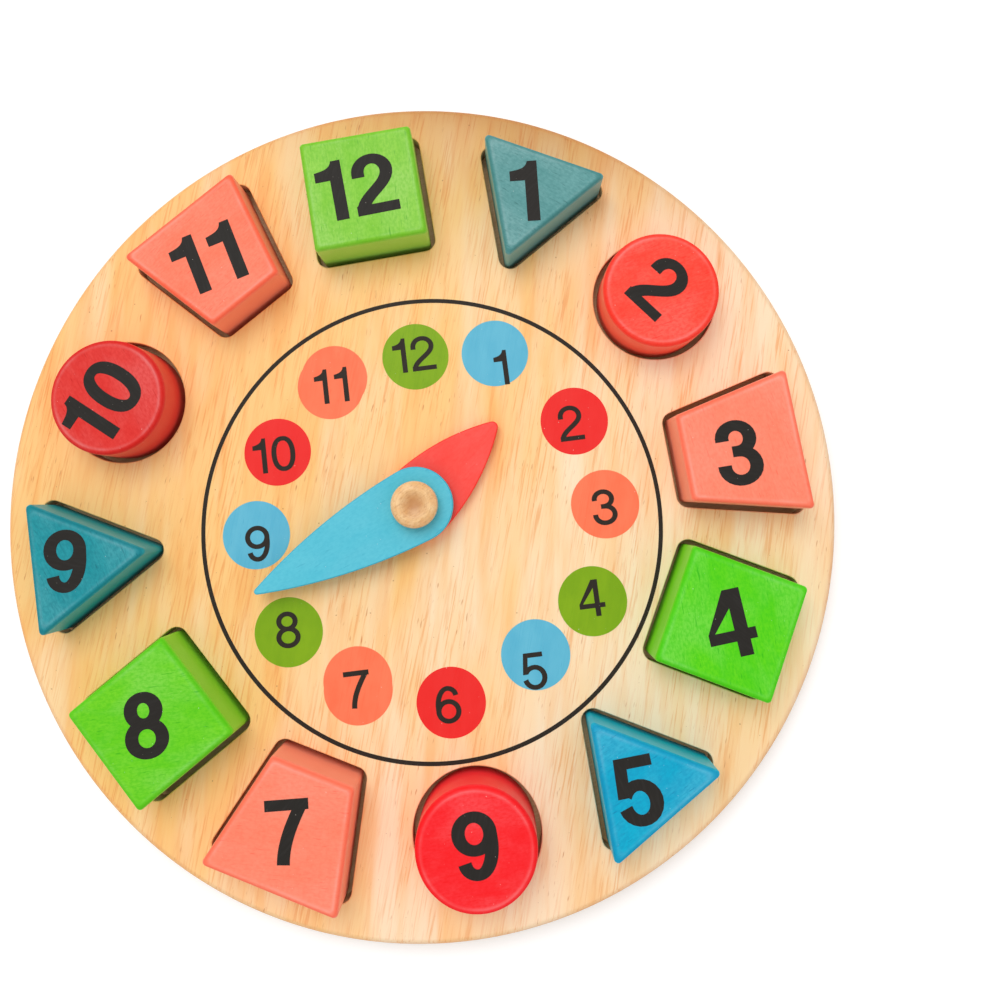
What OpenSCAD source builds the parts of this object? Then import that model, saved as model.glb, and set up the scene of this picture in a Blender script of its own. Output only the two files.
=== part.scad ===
// Shape-sorting teaching clock: a round wooden board whose twelve pockets hold
// loose number blocks, with two hands that turn freely on a turned wooden peg.
// The clock lies on its back, +Z is the face's normal and +Y points to twelve.

/* [Board] */
// Diameter of the clock
board_d = 220; // [210:1:260]
// Thickness of the face board, which is also the depth of its pockets
face_t = 6; // [4:0.5:10]
// Thickness of the back panel that closes the pockets
back_t = 3; // [2:0.5:6]
// Rounding of the face board's upper rim
rim_r = 1.8; // [0.5:0.1:3]
// Chamfer round the back panel's lower rim
back_chamfer = 0.6; // [0.2:0.1:1.5]

/* [Pockets] */
// Wood left between the rim and the middle of a pocket's outer side
rim_margin = 9.3; // [6:0.1:14]
// How much nearer to the clock's centre the triangles sit than the other blocks
triangle_inset = 1.5; // [0:0.1:4]
// How far round the clock the round pockets stand from their hours, in degrees clockwise
round_turn = -1.2; // [-3:0.1:3]
// Gap all round between a block and its pocket
pocket_gap = 1.4; // [0.5:0.1:2]
// Corner radius of the pockets
pocket_corner_r = 3; // [1:0.1:4]

/* [Number blocks] */
// Height of each block's outline, from its inner to its outer side
block_size = 30; // [24:0.5:32]
// Thickness of the blocks
block_t = 18; // [12:0.5:24]
// Side of the trapezoid that faces the clock's centre
trapezoid_short = 22; // [16:0.5:26]
// Side of the trapezoid that faces the rim
trapezoid_long = 36; // [30:0.5:38]
// Radius of the blocks' upright edges
block_corner_r = 1; // [0.6:0.1:2.5]
// Rounding of the blocks' upper and lower edges
block_edge_r = 1.3; // [0.5:0.1:2.5]

/* [Hands] */
// Thickness of both hands
hand_t = 3; // [2:0.5:5]
// Radius of the round end that turns on the peg
hub_r = 9.8; // [8:0.1:12]
// Length of the hour hand from the peg's axis to its tip
hour_length = 30; // [24:0.5:40]
// Radius of the hour hand's curved sides
hour_side_r = 60; // [50:1:90]
// Radius of the hour hand's tip
hour_tip_r = 1.5; // [0.6:0.1:3]
// Where the hour hand points, in degrees clockwise from twelve
hour_angle = 54; // [0:1:359]
// Length of the minute hand from the peg's axis to its tip
minute_length = 47; // [40:0.5:58]
// Radius of the minute hand's curved sides
minute_side_r = 150; // [120:1:220]
// Radius of the minute hand's tip
minute_tip_r = 0.8; // [0.5:0.1:2]
// Where the minute hand points, in degrees clockwise from twelve
minute_angle = 251; // [0:1:359]
// Play above and below each hand
hand_gap = 0.3; // [0.1:0.05:0.8]

/* [Centre peg] */
// Diameter of the peg's shank
peg_d = 6.4; // [5:0.1:8]
// Radial play of the hands on the shank
hand_play = 0.08; // [0.02:0.01:0.1]
// Glue gap round the shank in the face board
glue_gap = 0.04; // [0.02:0.01:0.1]
// Diameter of the peg's head
head_d = 12; // [10:0.1:15]
// Thickness of the peg's head
head_t = 5; // [4:0.1:8]
// Rounding of the head's upper edge
head_edge_r = 2; // [1:0.1:2.4]
// Rounding of the head's lower edge
head_under_r = 1; // [0.4:0.1:1.4]
// Diameter of the dimple in the head
dimple_d = 6.4; // [4:0.1:7]
// Depth of the dimple
dimple_depth = 0.7; // [0.3:0.1:1.5]

/* [Hidden] */
HOURS = [1 : 12];
KINDS = ["square", "triangle", "round", "trapezoid"];
PAINTS = ["limegreen", "steelblue", "crimson", "tomato"];
function block_node(hour) = str("block_", hour < 10 ? "0" : "", hour);

$fn = 96;
arc_steps = 6;      // straight pieces in each small rounded profile
edge_steps = 3;     // straight pieces in the rounded edges of the flat-sided blocks
corner_steps = 4;   // straight pieces round each corner of a block or pocket
side_fn = 360;      // facets of a full turn of the hands' wide side arcs
cut = 1;            // how far a cutting tool runs past the face it opens

board_t = back_t + face_t;
pocket_ring_r = board_d / 2 - rim_margin - pocket_gap - block_size / 2;
hour_z = board_t + hand_gap;
minute_z = hour_z + hand_t + hand_gap;
head_z = minute_z + hand_t + hand_gap;

// Sharp corners of a block's outline, anticlockwise, with its outer side towards +Y.
half = block_size / 2;
triangle_half = block_size * tan(30);
square_corners = [[-half, -half], [half, -half], [half, half], [-half, half]];
triangle_corners = [[0, -half], [triangle_half, half], [-triangle_half, half]];
trapezoid_corners = [[-trapezoid_short / 2, -half], [trapezoid_short / 2, -half],
                     [trapezoid_long / 2, half], [-trapezoid_long / 2, half]];
function kind_of(hour) = KINDS[hour % len(KINDS)];
function paint_of(hour) = PAINTS[hour % len(PAINTS)];
function corners_of(kind) = kind == "square" ? square_corners
                          : kind == "triangle" ? triangle_corners : trapezoid_corners;
function ring_r_of(kind) = pocket_ring_r - (kind == "triangle" ? triangle_inset : 0);
function turn_of(kind) = kind == "round" ? round_turn : 0;

function unit(v) = v / norm(v);
// Outward normal of the side that leaves corner i of an anticlockwise outline.
function normal(points, i) =
    let (side = unit(points[(i + 1) % len(points)] - points[i])) [side[1], -side[0]];
// Corner i moved along both of its sides' normals, outwards where d is positive.
function moved(points, i, d) =
    let (before = normal(points, (i + len(points) - 1) % len(points)), after = normal(points, i))
    points[i] + d * (before + after) / (1 + before * after);
function arc(centre, r, from, to) =
    [for (i = [0 : arc_steps]) let (a = from + (to - from) * i / arc_steps)
        centre + r * [cos(a), sin(a)]];

// A convex outline grown by d, with corners of radius r, as a list of points.
function rounded(points, d, r) =
    [for (i = [0 : len(points) - 1])
        let (before = normal(points, (i + len(points) - 1) % len(points)),
             after = normal(points, i),
             centre = moved(points, i, d - r),
             from = atan2(before[1], before[0]),
             turn = acos(before * after))
        for (k = [0 : corner_steps]) let (a = from + turn * k / corner_steps)
            centre + r * [cos(a), sin(a)]];

module at_hour(hour) {
    kind = kind_of(hour);
    rotate(-30 * hour - turn_of(kind)) translate([0, ring_r_of(kind)]) children();
}

module pocket(hour) {
    if (kind_of(hour) == "round") circle(d = block_size + 2 * pocket_gap);
    else polygon(rounded(corners_of(kind_of(hour)), pocket_gap, pocket_corner_r));
}

module round_block() {
    r = block_size / 2;
    rotate_extrude()
        polygon(concat([[0, 0]],
                       arc([r - block_edge_r, block_edge_r], block_edge_r, -90, 0),
                       arc([r - block_edge_r, block_t - block_edge_r], block_edge_r, 0, 90),
                       [[0, block_t]]));
}

// Flat-sided block: rings of points that follow its rounded edges, joined by faces.
module sided_block(points) {
    lower = [for (k = [edge_steps : -1 : 0]) let (a = 90 * k / edge_steps)
        [block_edge_r * (1 - cos(a)), block_edge_r * (1 - sin(a))]];
    upper = [for (k = [0 : edge_steps]) let (a = 90 * k / edge_steps)
        [block_edge_r * (1 - cos(a)), block_t - block_edge_r * (1 - sin(a))]];
    rings = [for (level = concat(lower, upper))
        [for (p = rounded(points, -level[0], block_corner_r)) [p[0], p[1], level[1]]]];
    count = len(rings[0]);
    last = len(rings) - 1;
    sides = [for (j = [0 : last - 1]) for (i = [0 : count - 1]) let (next = (i + 1) % count)
        [j * count + i, (j + 1) * count + i, (j + 1) * count + next, j * count + next]];
    polyhedron([for (level = rings) each level],
               concat([[for (i = [0 : count - 1]) i]],
                      [[for (i = [count - 1 : -1 : 0]) last * count + i]], sides));
}

module number_block(hour) {
    color(paint_of(hour)) at_hour(hour) translate([0, 0, back_t])
        if (kind_of(hour) == "round") round_block();
        else sided_block(corners_of(kind_of(hour)));
}

// Leaf-shaped hand that points along +Y: its sides are arcs of side_r that run
// smoothly into the round hub at the origin and into the round tip.
module hand_outline(length, side_r, tip_r) {
    tip_y = length - tip_r;
    to_hub = side_r - hub_r;
    to_tip = side_r - tip_r;
    side_y = (to_hub * to_hub - to_tip * to_tip + tip_y * tip_y) / (2 * tip_y);
    side_x = sqrt(to_hub * to_hub - side_y * side_y);
    hub_touch = [side_x, -side_y] * hub_r / to_hub;
    tip_touch = [0, tip_y] + [side_x, tip_y - side_y] * tip_r / to_tip;
    circle(hub_r);
    translate([0, tip_y]) circle(tip_r);
    intersection() {
        translate([-side_x, side_y]) circle(side_r, $fn = side_fn);
        translate([side_x, side_y]) circle(side_r, $fn = side_fn);
        polygon([[0, 0], hub_touch, [hub_touch[0], tip_touch[1]], tip_touch, [0, tip_y],
                 [-tip_touch[0], tip_touch[1]], [-hub_touch[0], tip_touch[1]],
                 [-hub_touch[0], hub_touch[1]]]);
    }
}

module hand(length, side_r, tip_r, angle, z) {
    translate([0, 0, z]) rotate(-angle) difference() {
        linear_extrude(hand_t) hand_outline(length, side_r, tip_r);
        translate([0, 0, -cut]) cylinder(h = hand_t + 2 * cut, r = peg_d / 2 + hand_play);
    }
}

module face_board() {
    r = board_d / 2;
    color("burlywood") translate([0, 0, back_t]) difference() {
        rotate_extrude($fn = 180)
            polygon(concat([[0, 0], [r, 0]],
                           arc([r - rim_r, face_t - rim_r], rim_r, 0, 90),
                           [[0, face_t]]));
        translate([0, 0, -cut]) linear_extrude(face_t + 2 * cut)
            for (hour = HOURS) at_hour(hour) pocket(hour);
        translate([0, 0, -cut]) cylinder(h = face_t + 2 * cut, r = peg_d / 2 + glue_gap);
    }
}

module back_panel() {
    r = board_d / 2;
    color("wheat") rotate_extrude($fn = 180)
        polygon([[0, 0], [r - back_chamfer, 0], [r, back_chamfer], [r, back_t], [0, back_t]]);
}

// Turned peg: the shank stands on the back panel and the head keeps the hands on.
module centre_peg() {
    shank_r = peg_d / 2;
    head_r = head_d / 2;
    top = head_z + head_t;
    // The dimple is a spherical cap.
    dimple_r = (pow(dimple_d / 2, 2) + pow(dimple_depth, 2)) / (2 * dimple_depth);
    color("peru") difference() {
        rotate_extrude()
            polygon(concat([[0, back_t], [shank_r, back_t], [shank_r, head_z]],
                           arc([head_r - head_under_r, head_z + head_under_r], head_under_r, -90, 0),
                           arc([head_r - head_edge_r, top - head_edge_r], head_edge_r, 0, 90),
                           [[0, top]]));
        translate([0, 0, top - dimple_depth + dimple_r]) sphere(dimple_r);
    }
}

module hour_hand() {
    color("red") hand(hour_length, hour_side_r, hour_tip_r, hour_angle, hour_z);
}

module minute_hand() {
    color("skyblue") hand(minute_length, minute_side_r, minute_tip_r, minute_angle, minute_z);
}

face_board();
back_panel();
centre_peg();
hour_hand();
minute_hand();
for (hour = HOURS) number_block(hour);
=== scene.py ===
"""Looks of the shape-sorting teaching clock: wood, paint, printed dial, light and camera.

Sizes are in millimetres and turned into metres where a mesh is made. The clock lies on its
back at z = 0, with its origin under the peg, +Z out of the face and +Y towards twelve.
"""
import math

import bpy
from mathutils import Matrix, Vector
from mathutils.geometry import delaunay_2d_cdt


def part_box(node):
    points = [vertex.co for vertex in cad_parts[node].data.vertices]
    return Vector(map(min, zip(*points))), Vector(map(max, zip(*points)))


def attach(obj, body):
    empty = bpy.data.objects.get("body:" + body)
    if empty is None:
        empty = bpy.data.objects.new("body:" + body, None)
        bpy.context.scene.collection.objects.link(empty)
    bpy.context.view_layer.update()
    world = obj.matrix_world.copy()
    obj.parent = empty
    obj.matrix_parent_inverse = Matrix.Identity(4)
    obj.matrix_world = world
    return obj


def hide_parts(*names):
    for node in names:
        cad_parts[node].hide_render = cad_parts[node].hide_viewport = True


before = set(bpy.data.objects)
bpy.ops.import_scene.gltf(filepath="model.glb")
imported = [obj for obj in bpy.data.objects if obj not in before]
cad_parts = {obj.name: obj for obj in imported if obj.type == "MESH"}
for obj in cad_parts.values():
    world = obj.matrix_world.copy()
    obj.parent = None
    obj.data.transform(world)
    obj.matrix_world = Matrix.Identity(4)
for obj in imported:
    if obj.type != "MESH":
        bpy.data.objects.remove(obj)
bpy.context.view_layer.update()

# ---- Sizes -------------------------------------------------------------------------------

MM = 0.001


def span(node):
    """Lowest and highest corner of a CAD node, in millimetres."""
    low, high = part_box(node)
    return low / MM, high / MM


def ring_place(node, hour):
    """How far out a CAD node's middle is, and its turn past its hour in degrees clockwise."""
    low, high = span(node)
    centre = ((low + high) / 2).to_2d()
    clockwise = math.degrees(math.atan2(centre.x, centre.y)) % 360
    return centre.length, clockwise - 30 * hour


board_low, board_high = span("face_board")
panel_low, panel_high = span("back_panel")
peg_low, peg_high = span("centre_peg")
block_low, block_high = span("block_12")

# What the boxes of the nodes don't give repeats the sizes of the CAD model.
BOARD_R = min(board_high.x, board_high.y, -board_low.x, -board_low.y)
FACE_Z = board_high.z
RIM_R = 1.8
PANEL_CHAMFER = 0.6
POCKET_GAP = 1.4
POCKET_CORNER_R = 3.0
POCKET_EASE = 0.35          # easing of the pockets' upper edges
UPRIGHT = 0.2               # a face whose normal rises or falls by less than this is a wall

BLOCK_SIZE = block_high.x - block_low.x
TRAPEZOID_SHORT, TRAPEZOID_LONG = 22.0, 36.0
BLOCK_CORNER_R = 1.0
BLOCK_EDGE_R = 1.3

HUB_R = 9.8
HAND_EDGE_R = 0.4
BORE_R = 3.28
# Where each hand points, in degrees clockwise, and its length, side radius and tip radius.
HANDS = {
    "hour_hand": (54.0, (30.0, 60.0, 1.5)),
    "minute_hand": (251.0, (47.0, 150.0, 0.8)),
}
HAND_SLOTS = {"hour_hand": "hand_red", "minute_hand": "hand_blue"}

SHANK_R = 3.2
HEAD_R = 6.0
HEAD_T = 5.0
HEAD_EDGE_R, HEAD_UNDER_R = 2.0, 1.0
DIMPLE_R, DIMPLE_DEPTH = 3.2, 0.7

INK_T = 0.05                # thickness of the printed ink
INK_SINK = 0.02             # how deep the ink goes into the wood

BLOCK_SHEEN_REACH, HAND_SHEEN_REACH = 1.0, 0.35   # how far onto the face the painted sheen of a rounded edge reaches
# Values of the "edge" attribute, which tells a paint where it is: it runs from ROUND_START to
# ON_WALL over an upper edge's rounding.
ON_FACE, ROUND_START, ROUND_MIDDLE, WALL_START, ON_WALL = 0.0, 0.5, 1.2, 1.3, 2.0

# The dial is printed a little off the clock's centre and turned against its pockets.
DIAL_CENTRE = Vector((2.6, -5.95))
RING_R, RING_WIDTH = 60.55, 1.1
DIAL_NUMBER_R, DIAL_TURN = 46.1, 3.7
DIAL_NUMBER_HEIGHT, DIAL_NUMBER_TILT = 9.4, 2.5
DOT_R = 8.97
# Shift and turn of each colour of dots against the others, as the print has them.
DOT_PLATES = {
    "green": (Vector((0.2, -0.7)), 3.8),
    "blue": (Vector((0.0, 3.5)), 2.2),
    "red": (Vector((0.95, 0.45)), 3.8),
    "coral": (Vector((0.35, 0.85)), 3.8),
}
DOUBLE_PRINTS = {7: Vector((0.1, 1.0)), 11: Vector((0.6, 0.9))}

HOURS = range(1, 13)
KINDS = ("square", "triangle", "round", "trapezoid")
COLOURS = ("green", "blue", "red", "coral")
# A block of each kind that points along an axis, so that its box's middle is its own.
AXIS_HOURS = {"square": 12, "triangle": 9, "round": 6, "trapezoid": 3}
PLACE_OF = {kind: ring_place(f"block_{hour:02d}", hour % 12) for kind, hour in AXIS_HOURS.items()}

# Where each block's number stands on it, in the clock's axes, how far it is turned clockwise,
# and its height. The six lies in its pocket upside down, so it reads as a nine.
BLOCK_NUMBERS = {
    1: ((0.3, 3.6), 6.0, 16.3),
    2: ((-0.1, 0.9), 54.0, 15.8),
    3: ((-1.2, -1.0), 1.5, 16.6),
    4: ((-0.5, 0.2), -2.4, 16.5),
    5: ((1.2, -5.0), -1.5, 16.4),
    6: ((0.1, 1.0), 180.0, 16.0),
    7: ((-0.6, 0.2), 5.0, 15.2),
    8: ((-1.1, -0.2), -1.3, 16.2),
    9: ((-6.0, 0.8), 4.5, 15.8),
    10: ((-1.4, -1.1), -48.0, 16.1),
    11: ((-1.1, -0.8), -13.0, 16.2),
    12: ((-1.5, 0.5), -1.2, 16.4),
}

# Half widths of the pens that draw the numbers, upright and level, for a height of 1.
BOLD_PEN = (0.103, 0.082)
LIGHT_PEN = (0.071, 0.064)

EDGE_STEPS = 6              # steps of a rounded edge
CORNER_STEPS = 8            # steps round a corner of a block or pocket
CURVE_STEPS = 14            # steps of a Bezier curve
HAND_STEPS = (24, 12, 48)   # steps along a hand's side, round its tip and round its hub
PEG_STEPS = (6, 10, 8)      # steps of the head's lower edge, upper edge and dimple
BOARD_POINTS = 256          # points round the board and its panel
RING_POINTS = 192           # points round the printed ring
PEG_POINTS = 72             # points round the peg
BORE_POINTS = 48            # points round the holes for the peg
OVAL_POINTS = 48            # points round an oval stroke of a number
SHARP_ANGLE = 40            # edges that turn by more than this many degrees look sharp


def kind_of(hour):
    """The shape of an hour's block."""
    return KINDS[hour % len(KINDS)]


def colour_of(hour):
    """The colour of an hour's block and of its dot on the dial."""
    return COLOURS[hour % len(COLOURS)]


# ---- Outlines ----------------------------------------------------------------------------

def turned(point, degrees):
    """A point turned clockwise about the origin."""
    return point @ Matrix.Rotation(math.radians(degrees), 2)


def arc(centre, rx, ry, start, end, steps=20, power=2.0):
    """Points of an elliptical arc, anticlockwise from +X; a power over 2 squares it up."""
    points = []
    for k in range(steps + 1):
        angle = math.radians(start + (end - start) * k / steps)
        c, s = math.cos(angle), math.sin(angle)
        points.append(Vector((centre[0] + rx * math.copysign(abs(c) ** (2 / power), c),
                              centre[1] + ry * math.copysign(abs(s) ** (2 / power), s))))
    return points


def circle(radius, steps=96, centre=(0, 0)):
    """Points round a circle, anticlockwise."""
    return arc(centre, radius, radius, 0, 360, steps)[:-1]


def bezier(start, lead, trail, end):
    """Points of a cubic curve that leaves start towards lead and reaches end from trail."""
    points = [Vector(p) for p in (start, lead, trail, end)]
    curve = []
    for k in range(CURVE_STEPS + 1):
        t = k / CURVE_STEPS
        weights = ((1 - t) ** 3, 3 * t * (1 - t) ** 2, 3 * t * t * (1 - t), t ** 3)
        curve.append(sum((w * p for w, p in zip(weights, points)), Vector((0, 0))))
    return curve


def side_normal(start, end):
    """Unit normal on the right of the way from start to end."""
    side = (end - start).normalized()
    return Vector((side.y, -side.x))


def rounded(corners, grow, radius):
    """A convex polygon grown by grow, with its corners rounded to radius."""
    outline = []
    for k, corner in enumerate(corners):
        before = side_normal(corners[k - 1], corner)
        after = side_normal(corner, corners[(k + 1) % len(corners)])
        centre = corner + (before + after) * (grow - radius) / (1 + before.dot(after))
        start = math.degrees(math.atan2(before.y, before.x))
        turn = math.degrees(before.angle(after))
        outline += arc(centre, radius, radius, start, start + turn, CORNER_STEPS)
    return outline


def block_corners(kind):
    """Sharp corners of a block's outline, anticlockwise, outer side towards +Y."""
    half = BLOCK_SIZE / 2
    if kind == "triangle":
        reach = BLOCK_SIZE * math.tan(math.radians(30))
        return [Vector((0, -half)), Vector((reach, half)), Vector((-reach, half))]
    inner = half if kind == "square" else TRAPEZOID_SHORT / 2
    outer = half if kind == "square" else TRAPEZOID_LONG / 2
    return [Vector((-inner, -half)), Vector((inner, -half)), Vector((outer, half)),
            Vector((-outer, half))]


def block_outline(kind, grow, corner_r):
    """A block's outline about its own middle, grown by grow, with corners of corner_r."""
    if kind == "round":
        return circle(BLOCK_SIZE / 2 + grow)
    return rounded(block_corners(kind), grow, corner_r)


def hand_outline(length, side_r, tip_r, inset):
    """Leaf-shaped hand along +Y: side arcs that run smoothly into a round hub and tip."""
    tip_y = length - tip_r
    to_hub, to_tip = side_r - HUB_R, side_r - tip_r
    side_y = (to_hub ** 2 - to_tip ** 2 + tip_y ** 2) / (2 * tip_y)
    side_x = math.sqrt(to_hub ** 2 - side_y ** 2)
    at_hub = math.degrees(math.atan2(-side_y, side_x))
    at_tip = math.degrees(math.atan2(tip_y - side_y, side_x))
    side_steps, tip_steps, hub_steps = HAND_STEPS
    right = arc((-side_x, side_y), side_r - inset, side_r - inset, at_hub, at_tip, side_steps)
    tip = arc((0, tip_y), tip_r - inset, tip_r - inset, at_tip, 180 - at_tip, tip_steps)
    left = [Vector((-p.x, p.y)) for p in reversed(right)]
    hub = arc((0, 0), HUB_R - inset, HUB_R - inset, 180 - at_hub, 360 + at_hub, hub_steps)
    return right + tip[1:-1] + left + hub[1:-1]


def round_over(radius, low, high, lower=True):
    """(inset, height) steps up a slab's side to its rounded upper edge.

    The lower edge is rounded as well, unless lower is False.
    """
    angles = [math.radians(90 * k / EDGE_STEPS) for k in range(EDGE_STEPS + 1)]
    curve = [(radius * (1 - math.cos(a)), radius * (1 - math.sin(a))) for a in angles]
    bottom = [(inset, low + rise) for inset, rise in reversed(curve)] if lower else [(0, low)]
    return bottom + [(inset, high - drop) for inset, drop in curve]


# ---- Meshes ------------------------------------------------------------------------------

def add_piece(name, points, faces, material):
    """A piece from points in millimetres, smooth but for its sharp edges."""
    mesh = bpy.data.meshes.new(name)
    mesh.from_pydata([Vector(p) * MM for p in points], [], faces)
    mesh.validate()
    mesh.shade_smooth()
    mesh.set_sharp_from_angle(angle=math.radians(SHARP_ANGLE))
    mesh.materials.append(material)
    piece = bpy.data.objects.new(name, mesh)
    bpy.context.scene.collection.objects.link(piece)
    weighted = piece.modifiers.new("weighted_normals", "WEIGHTED_NORMAL")
    weighted.keep_sharp = True
    return piece


def triangulate(polygons, wanted):
    """Anticlockwise triangles of overlaid flat polygons, and the points they use.

    wanted takes the list of polygons that cover a triangle, and says whether it is kept.
    The points come with the numbers of the given points that each was made from.
    """
    points, loops = [], []
    for polygon in polygons:
        loops.append(list(range(len(points), len(points) + len(polygon))))
        points += [Vector((p[0], p[1])) for p in polygon]
    whole_hull, merge_distance = 0, 1e-5
    made, _, faces, origins, _, covers = delaunay_2d_cdt(points, [], loops, whole_hull,
                                                         merge_distance)
    kept = []
    for (a, b, c), cover in zip(faces, covers):
        if wanted(cover):
            anticlockwise = (made[b] - made[a]).cross(made[c] - made[a]) > 0
            kept.append((a, b, c) if anticlockwise else (a, c, b))
    return made, kept, origins


def cap(rings, up):
    """Triangles that fill the first ring, less the others. Rings are (first index, points)."""
    index = [first + k for first, ring in rings for k in range(len(ring))]
    _, triangles, origins = triangulate([ring for _, ring in rings], lambda cover: cover == [0])
    back = [index[o[0]] for o in origins]
    return [[back[k] for k in (t if up else t[::-1])] for t in triangles]


def solid(name, stacks, material):
    """A closed solid from stacks of rings: the outer wall first, then any hole's walls."""
    points, faces, lowest, highest = [], [], [], []
    for order, rings in enumerate(stacks):
        count = len(rings[0])
        first = len(points)
        for ring in rings:
            points += ring
        for level in range(len(rings) - 1):
            for k in range(count):
                a = first + level * count + k
                b = first + level * count + (k + 1) % count
                quad = [a, b, b + count, a + count]
                faces.append(quad if order == 0 else quad[::-1])
        lowest.append((first, rings[0]))
        highest.append((first + (len(rings) - 1) * count, rings[-1]))
    faces += cap(lowest, False) + cap(highest, True)
    return add_piece(name, points, faces, material)


def stack(outline_at, levels):
    """Rings of points at the given (inset, height) levels."""
    return [[(p[0], p[1], z) for p in outline_at(inset)] for inset, z in levels]


def print_ink(name, shapes, z, material):
    """A thin closed layer of ink on the plane z, covering every one of the flat shapes."""
    made, faces, _ = triangulate(shapes, bool)
    used = sorted({k for f in faces for k in f})
    place = {k: n for n, k in enumerate(used)}
    faces = [[place[k] for k in f] for f in faces]
    count = len(used)
    sides = {(f[k], f[(k + 1) % len(f)]) for f in faces for k in range(len(f))}
    rim = sorted((a, b) for a, b in sides if (b, a) not in sides)
    verts = [(*made[k], z - INK_SINK) for k in used] + [(*made[k], z + INK_T) for k in used]
    all_faces = [f[::-1] for f in faces] + [[k + count for k in f] for f in faces]
    all_faces += [[a, b, b + count, a + count] for a, b in rim]
    return add_piece(name, verts, all_faces, material)


# ---- Numbers -----------------------------------------------------------------------------

# A digit is drawn 1 high, from its lower left corner. Its function takes the pen's two half
# widths, and returns the digit's width and the flat shapes that draw it.

WAIST = 0.525               # height of the middle of 3 and 8
DIGIT_GAP, ONE_GAP = 0.145, 0.20    # space before a digit, and before a one


def ribbon(path, pen, closed=False):
    """Quads of a pen stroke along a path of points."""
    edges = []
    count = len(path)
    for k, point in enumerate(path):
        before = path[k - 1] if closed or k else point
        after = path[(k + 1) % count] if closed or k < count - 1 else point
        across = side_normal(before, after)
        half = math.hypot(pen[0] * across.x, pen[1] * across.y)
        edges.append((point - half * across, point + half * across))
    last = count if closed else count - 1
    return [[*edges[k], *reversed(edges[(k + 1) % count])] for k in range(last)]


def ring(centre, rx, ry, pen, power=2.0):
    """Quads of a closed oval stroke."""
    return ribbon(arc(centre, rx, ry, 0, 360, OVAL_POINTS, power)[:-1], pen, closed=True)


def bar(x0, y0, x1, y1):
    """A rectangle from its lower left to its upper right corner."""
    return [Vector((x0, y0)), Vector((x1, y0)), Vector((x1, y1)), Vector((x0, y1))]


def zero(pen):
    a, b = pen
    width = 0.68
    return width, ring((width / 2, 0.5), width / 2 - a, 0.5 - b, pen, 2.25)


def one(pen):
    a, b = pen
    width, level = 0.24 + 2 * a, 0.68
    left, top = width - 2 * a, level + 2 * b
    flag = bezier((left + a / 2, 1), (left + a / 4, 0.88), (left - 0.08, top + 0.02), (0, top))
    return width, [[Vector((left, 0)), Vector((width, 0)), Vector((width, 1)), *flag,
                    Vector((0, level)), Vector((left, level))]]


def two(pen):
    a, b = pen
    width = 0.69
    reach = width / 2 - 0.01
    bowl = arc((reach, 0.70), reach - a, 0.30 - b, 180, 0)
    tail = bezier(bowl[-1], (width - a - 0.02, 0.45), (a + 0.02, 0.32), (a, b))
    return width, ribbon([Vector((a, 0.635)), *bowl, *tail[1:]], pen) + [bar(0, 0, width, 2 * b)]


def three(pen):
    a, b = pen
    width = 0.69
    upper = arc((width / 2 - 0.01, (1 - b + WAIST) / 2), 0.315 - a, (1 - b - WAIST) / 2, 188, -90)
    lower = arc((width / 2, (b + WAIST) / 2), width / 2 - a, (WAIST - b) / 2, 90, -186)
    middle_bar = bar(0.255, WAIST - b, width / 2, WAIST + b)
    return width, ribbon(upper, pen) + ribbon(lower, pen) + [middle_bar]


def four(pen):
    a, b = pen
    width, stem, level = 0.715, 0.50, 0.228
    top = level + 2 * b
    slope = [Vector(p) for p in ((0, level), (stem, level), (stem, top), (0.10, top),
                                 (stem - a, 0.90 - 1.7 * a), (stem, 1), (stem - 1.5 * a, 1),
                                 (0, top))]
    return width, [slope, bar(stem - a, 0, stem + a, 1), bar(stem, level, width, top)]


def five(pen):
    a, b = pen
    width, left = 0.68, 0.15 - 0.9 * pen[0]
    stem = [Vector(p) for p in ((0.02, 0.43), (0.02 + 1.8 * a, 0.43), (left + 1.8 * a, 1),
                                (left, 1))]
    bowl = arc((width / 2, 0.335), width / 2 - a, 0.335 - b, 150, -169)
    return width, [stem, bar(left, 1 - 2 * b, 0.61, 1)] + ribbon(bowl, pen)


def six(pen):
    a, b = pen
    width, hook_x = 0.69, 0.36
    hook = arc((hook_x, 0.72), 0.655 - a - hook_x, 0.28 - b, 4, 90, 8)
    back = arc((hook_x, 0.45), hook_x - a, 0.55 - b, 90, 180, 14)
    tail = ribbon([*hook, *back[1:], Vector((a, 0.325))], pen)
    return width, ring((width / 2, 0.325), width / 2 - a, 0.325 - b, pen) + tail


def seven(pen):
    a, b = pen
    width = 0.71
    stem = bezier((width - a - 0.01, 1 - b), (0.45, 0.66), (0.17 + a, 0.35), (0.155 + a, 0))
    return width, [bar(0, 1 - 2.1 * b, width, 1)] + ribbon(stem, pen)


def eight(pen):
    a, b = pen
    width = 0.68
    upper = ring((width / 2, (1 - b + WAIST) / 2), 0.30 - a, (1 - b - WAIST) / 2, pen)
    lower = ring((width / 2, (b + WAIST) / 2), width / 2 - a, (WAIST - b) / 2, pen)
    return width, upper + lower


def nine(pen):
    width, strokes = six(pen)
    return width, [[Vector((width - p.x, 1 - p.y)) for p in stroke] for stroke in strokes]


DIGITS = (zero, one, two, three, four, five, six, seven, eight, nine)


def number_shapes(number, pen, height, centre, tilt):
    """Flat shapes that draw a number round centre, turned clockwise by tilt."""
    shapes, width = [], 0
    for digit in str(number):
        if width:
            width += ONE_GAP if digit == "1" else DIGIT_GAP
        advance, strokes = DIGITS[int(digit)](pen)
        shapes += [[p + Vector((width, 0)) for p in stroke] for stroke in strokes]
        width += advance
    middle = Vector((width / 2, 0.5))
    return [[turned((p - middle) * height, tilt) + Vector(centre) for p in shape]
            for shape in shapes]


# ---- Materials ---------------------------------------------------------------------------

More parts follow.
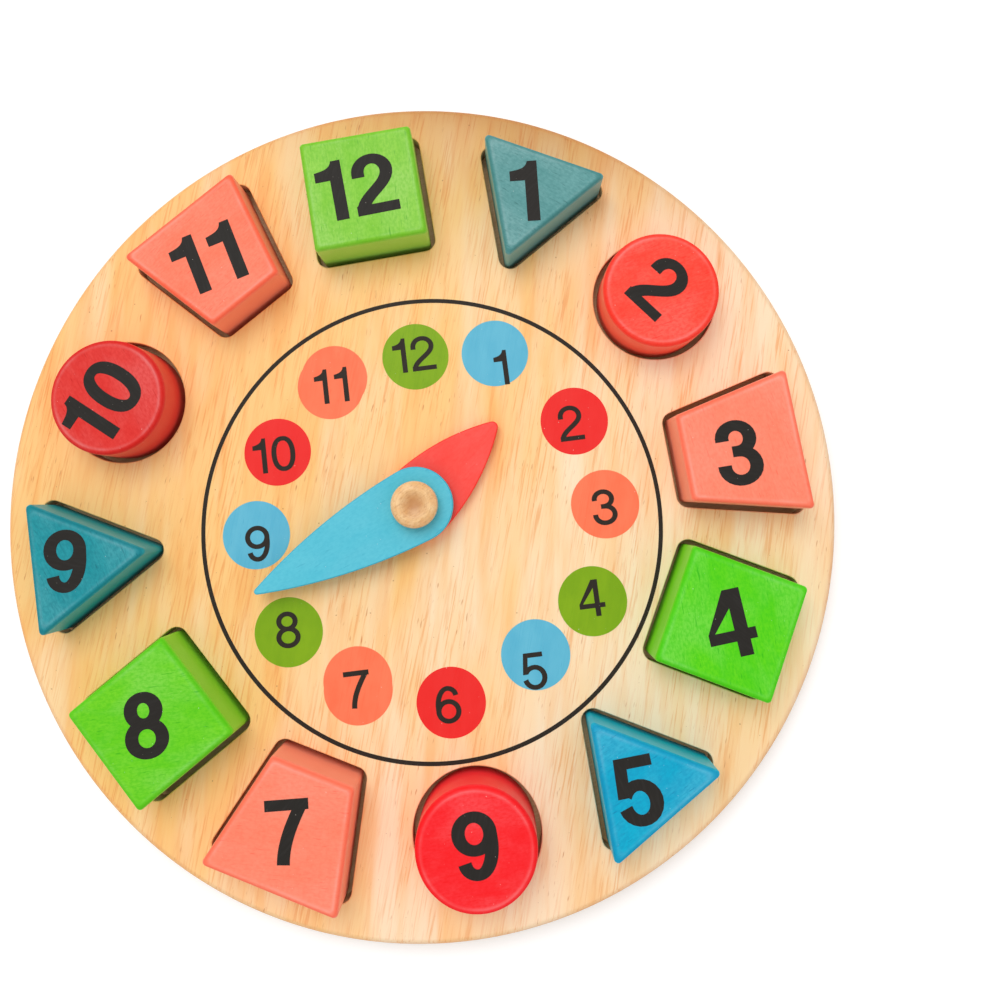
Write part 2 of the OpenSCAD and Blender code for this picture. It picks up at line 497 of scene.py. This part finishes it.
def rgb(red, green, blue):
    """A colour given as on screen, 0 to 255, as the linear values that shaders take."""
    linear = [((c / 255 + 0.055) / 1.055) ** 2.4 if c > 10 else c / 255 / 12.92
              for c in (red, green, blue)]
    return (*linear, 1)


def deeper(colour, power):
    """A linear colour raised to a power: more saturated and darker above 1, paler below 1."""
    return (*(c ** power for c in colour[:3]), 1)


def paler(colour, share):
    """A linear colour mixed with a share of white."""
    return (*(c + (1 - c) * share for c in colour[:3]), 1)


class Graph:
    """The node tree of a material or world, with short calls to add nodes and join them."""

    BUMP_MM = 0.05              # how far a height of 1 stands out in a bump
    MIX_INPUTS = (0, 6, 7)      # the Mix node's factor and its two colours
    MIX_OUTPUT = 2              # the Mix node's mixed colour

    def __init__(self, owner):
        self.owner = owner
        self.owner.use_nodes = True
        self.tree = self.owner.node_tree
        self.tree.nodes.clear()

    @classmethod
    def of_material(cls, name):
        """The empty tree of a new material."""
        return cls(bpy.data.materials.new(name))

    def add(self, kind, inputs=None, **settings):
        """A new node, with its properties set and its inputs set or joined to sockets."""
        node = self.tree.nodes.new("ShaderNode" + kind)
        for key, value in settings.items():
            setattr(node, key, value)
        for key, value in (inputs or {}).items():
            self.feed(node.inputs[key], value)
        return node

    def feed(self, socket, value):
        """Joins a socket's value to an input, or sets the input to a constant."""
        if isinstance(value, bpy.types.NodeSocket):
            self.tree.links.new(value, socket)
        else:
            socket.default_value = value

    def space(self, turn=0.0, stretch=1.0, shift=(0, 0, 0)):
        """Object coordinates in millimetres, turned clockwise and stretched along Y."""
        place = self.add("TexCoord").outputs["Object"]
        scale = (MM, MM * stretch, MM)
        return self.add("Mapping", {"Vector": place, "Location": [s * MM for s in shift],
                                    "Rotation": (0, 0, math.radians(-turn)), "Scale": scale},
                        vector_type="TEXTURE").outputs["Vector"]

    def noise(self, vector, size, detail=2.0, roughness=0.5, distortion=0.0):
        """Noise from 0 to 1 whose features are about size millimetres across."""
        return self.add("TexNoise", {"Vector": vector, "Scale": 1 / size, "Detail": detail,
                                     "Roughness": roughness,
                                     "Distortion": distortion}).outputs["Fac"]

    def remap(self, value, low, high, to_low=0.0, to_high=1.0):
        """The value's way from low to high, kept between them, as one from to_low to to_high."""
        return self.add("MapRange", {"Value": value, "From Min": low, "From Max": high,
                                     "To Min": to_low, "To Max": to_high}).outputs["Result"]

    def calc(self, operation, *values):
        """The result of one of the Math node's operations."""
        return self.add("Math", dict(enumerate(values)), operation=operation).outputs[0]

    def near(self, value, middle, reach, full=0.0):
        """1 where the value is within full of the middle, and 0 from reach on."""
        away = self.calc("ABSOLUTE", self.calc("SUBTRACT", value, middle))
        return self.remap(away, reach, full)

    def along(self, turn):
        """How far a point lies along a line turned clockwise from twelve, in millimetres."""
        return self.add("SeparateXYZ", {0: self.space(turn)}).outputs["Y"]

    def radius(self):
        """A point's distance from the peg's axis, in millimetres."""
        flat = self.add("VectorMath", {0: self.space(), 1: (1, 1, 0)}, operation="MULTIPLY")
        return self.add("VectorMath", {0: flat.outputs[0]}, operation="LENGTH").outputs["Value"]

    def seen(self):
        """1 for rays that show the backdrop: the camera's, and those in mirrors and glass."""
        rays = self.add("LightPath").outputs
        passed_on = self.calc("MAXIMUM", rays["Is Glossy Ray"], rays["Is Transmission Ray"])
        return self.calc("MAXIMUM", rays["Is Camera Ray"], passed_on)

    def mix(self, factor, first, second, blend="MIX"):
        """The first colour where the factor is 0, blended with the second where it is 1."""
        node = self.add("Mix", data_type="RGBA", blend_type=blend)
        for index, value in zip(self.MIX_INPUTS, (factor, first, second)):
            self.feed(node.inputs[index], value)
        return node.outputs[self.MIX_OUTPUT]

    def layer(self, colour, layers, blend="MIX"):
        """Lays (where, how much at most, colour) layers over a colour."""
        for share, most, tone in layers:
            colour = self.mix(self.calc("MULTIPLY", share, most), colour, tone, blend)
        return colour

    def finish(self, colour, roughness, height=None, bump=0.2, **constants):
        """Ends the tree in one shader. constants are sockets that are the same all over."""
        shader = self.add("BsdfPrincipled", {"Base Color": colour, "Roughness": roughness})
        for key, value in constants.items():
            shader.inputs[key.replace("_", " ")].default_value = value
        if height is not None:
            normal = self.add("Bump", {"Height": height, "Strength": bump,
                                       "Distance": self.BUMP_MM * MM})
            self.feed(shader.inputs["Normal"], normal.outputs["Normal"])
        output = self.add("OutputMaterial")
        self.tree.links.new(shader.outputs["BSDF"], output.inputs["Surface"])
        return self.owner


BAND_TURN, GRAIN_TURN = 13.0, 20.0  # how far bands and pores lean clockwise from twelve
BROAD_SHIFT = (37.0, 90.0, 0.0)     # the part of the endless noise that the broad tones show
# The board grows warmer along one line, painted light leaving it paler towards the lower right,
# and darker along another, painted shade towards twelve: each line's turn clockwise from
# twelve, and how far along it the change starts and ends.
WARM_TURN, WARM_FROM, WARM_TO = -60.0, -48.0, 20.0
SHADE_TURN, SHADE_FROM, SHADE_TO = 20.0, 60.0, 108.0
PANEL_GRAIN_TURN, PEG_GRAIN_TURN = 80.0, 60.0
PAINT_GLOSS = 0.2           # specular level of paint and coloured ink


def board_grain(graph):
    """Broad tones, bands, long grain lines, pores and specks of the board, each 0 to 1."""
    broad = graph.noise(graph.space(BAND_TURN, stretch=5, shift=BROAD_SHIFT), size=12)
    bands = graph.noise(graph.space(BAND_TURN, stretch=9), size=4.2,
                        detail=3, roughness=0.55, distortion=0.3)
    lines = graph.noise(graph.space(GRAIN_TURN, stretch=26), size=0.42)
    grouped = graph.noise(graph.space(BAND_TURN, stretch=4), size=7)
    pores = graph.noise(graph.space(GRAIN_TURN, stretch=7), size=0.5, detail=1, roughness=0.4)
    patches = graph.noise(graph.space(BAND_TURN, stretch=2.5), size=9, detail=1)
    specks = graph.noise(graph.space(), size=0.9, detail=0)
    return {
        "broad": graph.remap(broad, 0.34, 0.66),
        "bands": graph.remap(bands, 0.46, 0.68),
        "lines": graph.calc("MULTIPLY", graph.remap(lines, 0.52, 0.66),
                            graph.remap(grouped, 0.38, 0.6, to_low=0.25)),
        "pores": graph.calc("MULTIPLY", graph.remap(pores, 0.68, 0.78),
                            graph.remap(patches, 0.48, 0.6)),
        "specks": graph.remap(specks, 0.86, 0.89),
    }


def make_board_wood():
    """Lacquered pale wood, warmer to one side and paler to the other as painted light, with painted
    shade making it darker towards twelve and at the rim.
    """
    graph = Graph.of_material("board_wood")
    grain = board_grain(graph)
    # painted light: paler towards the lower right and warmer towards the upper left, with broad
    # random tone from the grain on top
    slope = graph.remap(graph.along(WARM_TURN), WARM_FROM, WARM_TO)
    warm = graph.remap(graph.calc("ADD", slope, grain["broad"]), 0.35, 1.55)
    upwards = graph.remap(graph.along(SHADE_TURN), SHADE_FROM, SHADE_TO)
    painted_shade = graph.calc("POWER", upwards, 3.0)
    colour = graph.mix(warm, rgb(255, 228, 191), rgb(255, 203, 129))
    # painted shade: the board darkens towards twelve
    colour = graph.layer(colour, [(painted_shade, 0.95, rgb(204, 148, 82))])
    filters = (
        (grain["bands"], 0.5, rgb(250, 216, 172)),
        (grain["lines"], 0.6, rgb(238, 186, 138)),
        (grain["pores"], 0.7, rgb(190, 126, 74)),
        (grain["specks"], 0.5, rgb(150, 96, 56)),
        # painted shade on the rim's rounding: darker towards the board's edge
        (graph.remap(graph.radius(), BOARD_R - RIM_R, BOARD_R), 0.5, rgb(206, 160, 112)),
    )
    colour = graph.layer(colour, filters, "MULTIPLY")
    return graph.finish(colour, roughness=0.5, height=grain["lines"], bump=-0.1,
                        Specular_IOR_Level=0.35)


def make_cut_wood():
    """The rough walls that the cutter leaves in the pockets, browned here and there."""
    graph = Graph.of_material("pocket_wall")
    browned = graph.noise(graph.space(), size=3, detail=3)
    fibres = graph.noise(graph.space(), size=0.5, detail=1)
    colour = graph.mix(graph.remap(browned, 0.35, 0.65), rgb(214, 176, 128), rgb(172, 132, 90))
    colour = graph.layer(colour, [(fibres, 0.4, rgb(222, 184, 136))])
    return graph.finish(colour, roughness=0.7, height=fibres, bump=0.3)


def make_panel_wood():
    """Thin pale plywood: faint grain on its faces and three plies at its edge."""
    graph = Graph.of_material("panel_wood")
    broad = graph.noise(graph.space(PANEL_GRAIN_TURN, stretch=8), size=11)
    streaks = graph.noise(graph.space(PANEL_GRAIN_TURN, stretch=18), size=0.6)
    height = graph.add("SeparateXYZ", {0: graph.space()}).outputs["Z"]
    ply = (panel_high.z - panel_low.z) / 3
    core = graph.calc("COMPARE", height, (panel_low.z + panel_high.z) / 2, ply / 2)
    colour = graph.mix(graph.remap(broad, 0.35, 0.65), rgb(233, 200, 152), rgb(214, 174, 120))
    layers = (
        (graph.remap(streaks, 0.35, 0.7), 0.35, rgb(188, 140, 88)),
        (core, 0.6, rgb(160, 112, 66)),
    )
    return graph.finish(graph.layer(colour, layers), roughness=0.6, height=streaks)


def make_peg_wood():
    """Pale turned wood with faint rings, darker in the dimple: burnished end grain with painted
    shade in the hollow.
    """
    graph = Graph.of_material("peg_wood")
    flecks = graph.noise(graph.space(PEG_GRAIN_TURN, stretch=3), size=0.5,
                         detail=3, roughness=0.6)
    clouds = graph.noise(graph.space(), size=2.6)
    radius = graph.radius()
    outwards = graph.add("CombineXYZ", {0: radius}).outputs[0]
    rings = graph.noise(outwards, size=0.4, detail=1)
    dimple = graph.remap(radius, DIMPLE_R * 1.2, DIMPLE_R * 0.3)
    colour = graph.mix(graph.remap(clouds, 0.3, 0.7), rgb(246, 206, 152), rgb(232, 178, 116))
    layers = (
        # painted shade in the dimple's hollow, over the end grain's own darker tone
        (dimple, 0.8, rgb(186, 122, 66)),
        (graph.remap(rings, 0.45, 0.7), 0.3, rgb(198, 136, 80)),
        (graph.remap(flecks, 0.5, 0.72), 0.5, rgb(176, 114, 62)),
    )
    return graph.finish(graph.layer(colour, layers), roughness=0.36, height=rings,
                        Specular_IOR_Level=0.4)


def edge_masks(graph):
    """1 where an upper edge starts to round, along its rounding, and on the wall below it."""
    edge = graph.add("Attribute", attribute_name="edge").outputs["Fac"]
    start = graph.near(edge, ROUND_START, reach=0.35)
    rounding = graph.near(edge, ROUND_MIDDLE, reach=0.7, full=0.1)
    wall = graph.remap(edge, WALL_START, ON_WALL)
    return start, rounding, wall


def make_paint(name, base, turn, grain, sheen, wall_light_power):
    """Satin paint over more or less grain, with a painted sheen where an edge starts to round,
    darker on the rounding past it, and a wall tone that can paint light onto the walls.
    """
    graph = Graph.of_material(name)
    flecks = graph.noise(graph.space(turn, stretch=7), size=0.34, roughness=0.6)
    pores = graph.noise(graph.space(turn, stretch=7), size=0.55, detail=1, roughness=0.4)
    mottle = graph.noise(graph.space(turn, stretch=1.6), size=0.7, detail=3, roughness=0.6)
    clouds = graph.noise(graph.space(turn, stretch=2), size=6, detail=3)
    thin = graph.noise(graph.space(turn, stretch=2.5), size=8, distortion=0.5)
    specks = graph.noise(graph.space(), size=0.5, detail=0)
    start, rounding, wall = edge_masks(graph)
    # painted sheen: a highlight line where an edge starts to round, broken up by noise
    sheen_line = graph.calc("MULTIPLY", start, graph.remap(thin, 0.4, 0.6, to_low=0.35))
    colour = graph.mix(graph.remap(clouds, 0.35, 0.7), base, deeper(base, 1 + 0.22 * grain))
    layers = (
        (graph.remap(thin, 0.42, 0.66), 0.7 * grain, paler(base, 0.06)),
        (graph.remap(mottle, 0.42, 0.62), 0.45 * grain, deeper(base, 1.6)),
        (graph.remap(flecks, 0.48, 0.68), 0.35 * grain, deeper(base, 1.6)),
        (graph.remap(pores, 0.68, 0.76), 0.6 * grain, deeper(base, 2.4)),
        # painted sheen along the start of each rounded edge
        (sheen_line, sheen, paler(base, 0.3)),
        (rounding, 0.7, deeper(base, wall_light_power + 0.6)),
        # painted light on the walls: a power below 1 makes them paler than the face
        (wall, 0.85, deeper(base, wall_light_power)),
        (graph.remap(specks, 0.86, 0.9), 0.4, rgb(250, 248, 240)),
    )
    colour = graph.layer(colour, layers)
    polish = graph.remap(clouds, 0.3, 0.7, to_low=0.32, to_high=0.42)
    roughness = graph.calc("ADD", polish, graph.calc("MULTIPLY", rounding, 0.4))
    return graph.finish(colour, roughness, height=flecks, bump=0.15,
                        Specular_IOR_Level=PAINT_GLOSS)


def make_ink(name, base):
    """Ink printed on the board: the wood's grain shows through it a little."""
    graph = Graph.of_material(name)
    grain = board_grain(graph)
    clouds = graph.noise(graph.space(BAND_TURN, stretch=2), size=3.5, detail=3)
    specks = graph.noise(graph.space(), size=0.5, detail=0)
    layers = (
        (graph.remap(clouds, 0.4, 0.65), 0.35, deeper(base, 1.25)),
        (grain["bands"], 0.25, deeper(base, 1.3)),
        (grain["lines"], 0.25, deeper(base, 1.3)),
        (grain["pores"], 0.3, deeper(base, 2.0)),
        (graph.remap(specks, 0.86, 0.9), 0.4, rgb(250, 246, 236)),
    )
    colour = graph.layer(base, layers)
    return graph.finish(colour, roughness=0.45, height=grain["lines"],
                        Specular_IOR_Level=PAINT_GLOSS)


def make_black(name, base):
    """Black ink with a little grain and a few missing specks."""
    graph = Graph.of_material(name)
    streaks = graph.noise(graph.space(GRAIN_TURN, stretch=8), size=0.7)
    specks = graph.noise(graph.space(), size=0.5, detail=0)
    layers = (
        (graph.remap(streaks, 0.45, 0.75), 0.4, paler(base, 0.015)),
        (graph.remap(specks, 0.85, 0.89), 0.4, rgb(200, 192, 180)),
    )
    return graph.finish(graph.layer(base, layers), roughness=0.5, height=streaks, bump=0.08,
                        Specular_IOR_Level=0.12)


HAND_PAINTS = {"hour_hand": rgb(254, 82, 72), "minute_hand": rgb(92, 196, 216)}
HAND_FINISH = {"grain": 0.4, "sheen": 0.0, "wall_light_power": 1.0}
BLOCK_PAINTS = {
    1: rgb(101, 160, 159), 5: rgb(0, 175, 208), 9: rgb(30, 154, 164),
    2: rgb(252, 85, 66), 6: rgb(250, 42, 50), 10: rgb(226, 58, 50),
    3: rgb(255, 143, 115), 7: rgb(255, 142, 114), 11: rgb(255, 132, 101),
    4: rgb(102, 216, 18), 8: rgb(118, 212, 32), 12: rgb(144, 208, 64),
}
# How much grain shows through each paint, how strong its painted sheen is where an edge starts
# to round, and the power of its walls' tone, which paints light onto them where it is below 1.
BLOCK_FINISH = {
    "green": {"grain": 1.0, "sheen": 0.12, "wall_light_power": 0.8},
    "blue": {"grain": 0.8, "sheen": 0.15, "wall_light_power": 0.9},
    "red": {"grain": 0.9, "sheen": 0.3, "wall_light_power": 0.9},
    "coral": {"grain": 0.5, "sheen": 0.28, "wall_light_power": 0.9},
}
# How far each block's grain is turned clockwise from the block's own middle line.
BLOCK_GRAIN = {
    1: 100, 2: 20, 3: 80, 4: 60, 5: 95, 6: 90,
    7: 75, 8: 30, 9: 70, 10: 40, 11: 85, 12: 2,
}
DOT_INKS = {
    "green": rgb(132, 172, 14), "blue": rgb(101, 187, 214),
    "red": rgb(240, 46, 42), "coral": rgb(255, 126, 88),
}
DIAL_BLACK, BLOCK_BLACK = rgb(44, 38, 32), rgb(38, 35, 32)


# ---- Pieces ------------------------------------------------------------------------------

def edged(levels, width):
    """Levels of a rounded slab with one more ring on its face, width inside the last one."""
    inset, height = levels[-1]
    return levels + [(inset + width, height)]


def mark_edges(piece, wall):
    """Stores the "edge" attribute on a rounded slab made from the rings of its wall.

    The points of a hole come after the wall's, and count as face.
    """
    count = len(wall[0])
    round_level = len(wall) - 2 - EDGE_STEPS
    attribute = piece.data.attributes.new("edge", "FLOAT", "POINT")
    for k, point in enumerate(attribute.data):
        steps_up = k // count - round_level
        rounding = (ON_WALL - ROUND_START) * max(steps_up, 0) / EDGE_STEPS
        point.value = ON_FACE if steps_up > EDGE_STEPS else ON_WALL - rounding


def block_turn(hour):
    """How far a block is turned clockwise from twelve, in degrees."""
    return 30 * hour + PLACE_OF[kind_of(hour)][1]


def at_hour(hour):
    """The place of a block: its distance out, turned clockwise to its hour."""
    turn = Matrix.Rotation(math.radians(-block_turn(hour)), 4, "Z")
    return turn @ Matrix.Translation((0, PLACE_OF[kind_of(hour)][0] * MM, 0))


def fit(piece, body, slot, *nodes):
    """Rides the piece on a body and lets it stand for the CAD nodes, which are hidden; slot is not
    used.
    """
    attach(piece, body)
    if nodes:
        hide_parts(*nodes)


def pocket_outline(hour, inset):
    """A pocket's outline in the clock's axes, grown by inset past its walls."""
    outline = block_outline(kind_of(hour), POCKET_GAP + inset, POCKET_CORNER_R + inset)
    place = at_hour(hour)
    return [(place @ (p.to_3d() * MM)) / MM for p in outline]


def board_circle(inset):
    """The board's round outline, drawn in by inset."""
    return circle(BOARD_R - inset, BOARD_POINTS)


def make_board(materials):
    """The face board, with its pockets, the peg's hole and browned walls in both."""
    rim = round_over(RIM_R, board_low.z, FACE_Z, lower=False)
    ease = round_over(POCKET_EASE, board_low.z, FACE_Z, lower=False)
    stacks = [stack(board_circle, rim)]
    stacks += [stack(lambda inset, hour=hour: pocket_outline(hour, inset), ease) for hour in HOURS]
    stacks.append(stack(lambda inset: circle(SHANK_R + inset, BORE_POINTS), ease))
    board = solid("face_board_wood", stacks, materials["board"])
    board.data.materials.append(materials["pocket"])
    for face in board.data.polygons:
        upright = abs(face.normal.z) < UPRIGHT
        inside = face.center.to_2d().length < (BOARD_R - RIM_R) * MM
        face.material_index = 1 if upright and inside else 0
    fit(board, "clock", "board_wood", "face_board")


def make_panel(materials):
    """The back panel, with a chamfer round its lower rim."""
    levels = [(PANEL_CHAMFER, panel_low.z), (0, panel_low.z + PANEL_CHAMFER), (0, panel_high.z)]
    panel = solid("back_panel_wood", [stack(board_circle, levels)], materials["panel"])
    fit(panel, "clock", "panel_wood", "back_panel")


def make_peg(materials):
    """The peg turned from its profile: shank, rounded head and a shallow dimple."""
    top = peg_high.z
    head_z = top - HEAD_T
    under_steps, over_steps, dimple_steps = PEG_STEPS
    under = arc((HEAD_R - HEAD_UNDER_R, head_z + HEAD_UNDER_R), HEAD_UNDER_R, HEAD_UNDER_R,
                -90, 0, under_steps)
    over = arc((HEAD_R - HEAD_EDGE_R, top - HEAD_EDGE_R), HEAD_EDGE_R, HEAD_EDGE_R,
               0, 90, over_steps)
    dimple_r = (DIMPLE_R ** 2 + DIMPLE_DEPTH ** 2) / (2 * DIMPLE_DEPTH)
    at_edge = math.degrees(math.asin(DIMPLE_R / dimple_r)) - 90
    near_axis = -88         # just short of the axis at -90, where the last ring is closed flat
    dimple = arc((0, top - DIMPLE_DEPTH + dimple_r), dimple_r, dimple_r, at_edge, near_axis,
                 dimple_steps)
    profile = [Vector((SHANK_R, peg_low.z)), Vector((SHANK_R, head_z)), *under, *over, *dimple]
    rings = [[(p.x, p.y, at.y) for p in circle(at.x, PEG_POINTS)] for at in profile]
    peg = solid("centre_peg_wood", [rings], materials["peg"])
    fit(peg, "clock", "peg_wood", "centre_peg")


def make_hand(node, materials):
    """A hand with softened edges and a plain bore."""
    angle, size = HANDS[node]
    low, high = span(node)
    levels = edged(round_over(HAND_EDGE_R, low.z, high.z), HAND_SHEEN_REACH)
    wall = stack(lambda inset: [turned(p, angle) for p in hand_outline(*size, inset)], levels)
    bore = stack(lambda inset: circle(BORE_R, BORE_POINTS), [(0, low.z), (0, high.z)])
    hand = solid(f"{node}_paint", [wall, bore], materials[node])
    mark_edges(hand, wall)
    fit(hand, node, HAND_SLOTS[node], node)


def make_block(hour, materials):
    """A number block and the number printed on it, both made about the block's own middle."""
    kind = kind_of(hour)
    node = f"block_{hour:02d}"
    top = block_high.z - INK_T
    levels = edged(round_over(BLOCK_EDGE_R, block_low.z, top), BLOCK_SHEEN_REACH)
    wall = stack(lambda inset: block_outline(kind, -inset, BLOCK_CORNER_R), levels)
    block = solid(f"{node}_wood", [wall], materials[node])
    mark_edges(block, wall)
    block.matrix_world = at_hour(hour)
    fit(block, node, f"block_{colour_of(hour)}", node)

    place, tilt, height = BLOCK_NUMBERS[hour]
    centre = turned(Vector(place), -block_turn(hour))
    shapes = number_shapes(hour, BOLD_PEN, height, centre, tilt - block_turn(hour))
    ink = print_ink(f"{node}_number", shapes, top, materials["block_ink"])
    ink.matrix_world = at_hour(hour)
    fit(ink, node, "print_black")


def dial_point(hour, turn):
    """Where an hour's dot or number stands on the dial, for a print turned clockwise."""
    return DIAL_CENTRE + turned(Vector((0, DIAL_NUMBER_R)), 30 * hour + turn)


def make_ring(materials):
    """The printed ring."""
    levels = [(0, FACE_Z - INK_SINK), (0, FACE_Z + INK_T)]
    walls = [stack(lambda _, r=radius: circle(r, RING_POINTS, DIAL_CENTRE), levels)
             for radius in (RING_R + RING_WIDTH / 2, RING_R - RING_WIDTH / 2)]
    fit(solid("dial_ring", walls, materials["dial_ink"]), "clock", "print_black")


def make_dot(hour, materials):
    """An hour's coloured dot on the dial, drawn twice where it is printed double."""
    colour = colour_of(hour)
    shift, turn = DOT_PLATES[colour]
    centre = dial_point(hour, turn) + shift
    centres = [centre]
    if hour in DOUBLE_PRINTS:
        centres = [centre + DOUBLE_PRINTS[hour], centre - DOUBLE_PRINTS[hour]]
    shapes = [circle(DOT_R, centre=middle) for middle in centres]
    dot = print_ink(f"dial_dot_{hour:02d}", shapes, FACE_Z, materials[f"dot_{colour}"])
    fit(dot, "clock", f"print_{colour}")


def make_dial_number(hour, materials):
    """An hour's small number, printed on its dot."""
    shapes = number_shapes(hour, LIGHT_PEN, DIAL_NUMBER_HEIGHT, dial_point(hour, DIAL_TURN),
                           DIAL_NUMBER_TILT)
    ink = print_ink(f"dial_number_{hour:02d}", shapes, FACE_Z + INK_T, materials["dial_ink"])
    fit(ink, "clock", "print_black")


def make_materials():
    """Every material of the clock, by the node or print that it is for."""
    materials = {
        "board": make_board_wood(),
        "pocket": make_cut_wood(),
        "panel": make_panel_wood(),
        "peg": make_peg_wood(),
        "dial_ink": make_black("dial_ink", DIAL_BLACK),
        "block_ink": make_black("block_ink", BLOCK_BLACK),
    }
    for node, (angle, _) in HANDS.items():
        materials[node] = make_paint(f"{node}_paint", HAND_PAINTS[node], angle, **HAND_FINISH)
    for colour, ink in DOT_INKS.items():
        materials[f"dot_{colour}"] = make_ink(f"print_{colour}", ink)
    for hour in HOURS:
        node = f"block_{hour:02d}"
        materials[node] = make_paint(f"{node}_paint", BLOCK_PAINTS[hour], BLOCK_GRAIN[hour],
                                     **BLOCK_FINISH[colour_of(hour)])
    return materials


# ---- Stage -------------------------------------------------------------------------------

CAMERA_PLACE = Vector((21.43, -4.55, 257.66))
CAMERA_AIM = Vector((20.25, 27.06, 9.0))
CAMERA_ROLL = 9.67          # how far twelve leans to the left in the picture, in degrees
CAMERA_LENS, SENSOR = 33.91, 36.0
CAMERA_SHIFT = (0.0197, -0.104)

LAMP_PLACE = Vector((-250.0, 1000.0, 1900.0))
LAMP_SIZE = 1300.0
LAMP_POWER = 20.0
WHITE = (1, 1, 1, 1)
SKY_LOW, SKY_HIGH = 0.90, 0.60      # the sky's strength at the horizon and overhead
FLOOR_HALF = 3000.0
FLOOR_Z = -0.02             # a hair below the clock's back, so that the two never coincide
FLOOR_GREY = (0.8, 0.8, 0.8, 1)     # what the floor reflects onto the clock
FLOOR_GLOW = 0.12           # lifts the floor's seen colour to white where no shadow falls
SHADOW_END = (250.0, 700.0)     # distances over which its shadows give way to plain white


def look(place, aim, up):
    """Matrix in metres that stands at place and looks towards aim."""
    back = (place - aim).normalized()
    right = up.cross(back).normalized()
    axes = Matrix((right, back.cross(right), back)).transposed().to_4x4()
    return Matrix.Translation(place * MM) @ axes


def make_camera():
    """The camera at the photograph's angle, shifted to frame the clock."""
    data = bpy.data.cameras.new("camera")
    data.lens = CAMERA_LENS
    data.sensor_width = SENSOR
    data.shift_x, data.shift_y = CAMERA_SHIFT
    camera = bpy.data.objects.new("camera", data)
    up = turned(Vector((0, 1)), CAMERA_ROLL).to_3d()
    camera.matrix_world = look(CAMERA_PLACE, CAMERA_AIM, up)
    bpy.context.scene.collection.objects.link(camera)
    bpy.context.scene.camera = camera


def make_lamp():
    """One large soft lamp, high up beyond twelve, as a window would be."""
    data = bpy.data.lights.new("window", "AREA")
    data.shape = "SQUARE"
    data.size = LAMP_SIZE * MM
    data.energy = LAMP_POWER
    lamp = bpy.data.objects.new("window", data)
    lamp.matrix_world = look(LAMP_PLACE, Vector((0, 0, 0)), Vector((0, 0, 1)))
    bpy.context.scene.collection.objects.link(lamp)


def make_sky():
    """A soft sky, strongest at the horizon, that lights the clock and is white where it is seen."""
    graph = Graph(bpy.data.worlds.new("sky"))
    direction = graph.add("TexCoord").outputs["Generated"]
    rise = graph.add("SeparateXYZ", {0: direction}).outputs["Z"]
    light = graph.remap(rise, 0.0, 1.0, SKY_LOW, SKY_HIGH)
    strength = graph.remap(graph.seen(), 0.0, 1.0, light, 1.0)
    background = graph.add("Background", {"Color": WHITE, "Strength": strength})
    graph.add("OutputWorld", {"Surface": background.outputs[0]})
    bpy.context.scene.world = graph.owner


def make_floor_paint():
    """White floor: it keeps shadows near the clock, and is plain white away from it."""
    graph = Graph.of_material("floor")
    plain = graph.add("BsdfDiffuse", {"Color": FLOOR_GREY}).outputs[0]
    white = graph.add("BsdfDiffuse", {"Color": WHITE}).outputs[0]
    glow = graph.add("Emission", {"Color": WHITE, "Strength": FLOOR_GLOW}).outputs[0]
    bare = graph.add("Emission", {"Color": WHITE, "Strength": 1.0}).outputs[0]
    near = graph.add("AddShader", {0: white, 1: glow}).outputs[0]
    away = graph.remap(graph.radius(), *SHADOW_END)
    shown = graph.add("MixShader", {0: away, 1: near, 2: bare}).outputs[0]
    shader = graph.add("MixShader", {0: graph.seen(), 1: plain, 2: shown}).outputs[0]
    graph.add("OutputMaterial", {"Surface": shader})
    return graph.owner


def make_floor():
    """The plain floor that the clock lies on."""
    mesh = bpy.data.meshes.new("floor")
    corners = [(-1, -1), (1, -1), (1, 1), (-1, 1)]
    points = [(x * FLOOR_HALF * MM, y * FLOOR_HALF * MM, FLOOR_Z * MM) for x, y in corners]
    mesh.from_pydata(points, [], [(0, 1, 2, 3)])
    mesh.materials.append(make_floor_paint())
    floor = bpy.data.objects.new("floor", mesh)
    bpy.context.scene.collection.objects.link(floor)


make_camera()
make_lamp()
make_sky()
make_floor()
clock_materials = make_materials()
make_board(clock_materials)
make_panel(clock_materials)
make_peg(clock_materials)
for hand_node in HANDS:
    make_hand(hand_node, clock_materials)
for clock_hour in HOURS:
    make_block(clock_hour, clock_materials)
make_ring(clock_materials)
for clock_hour in HOURS:
    make_dot(clock_hour, clock_materials)
    make_dial_number(clock_hour, clock_materials)

bpy.context.scene.view_settings.view_transform = "Standard"
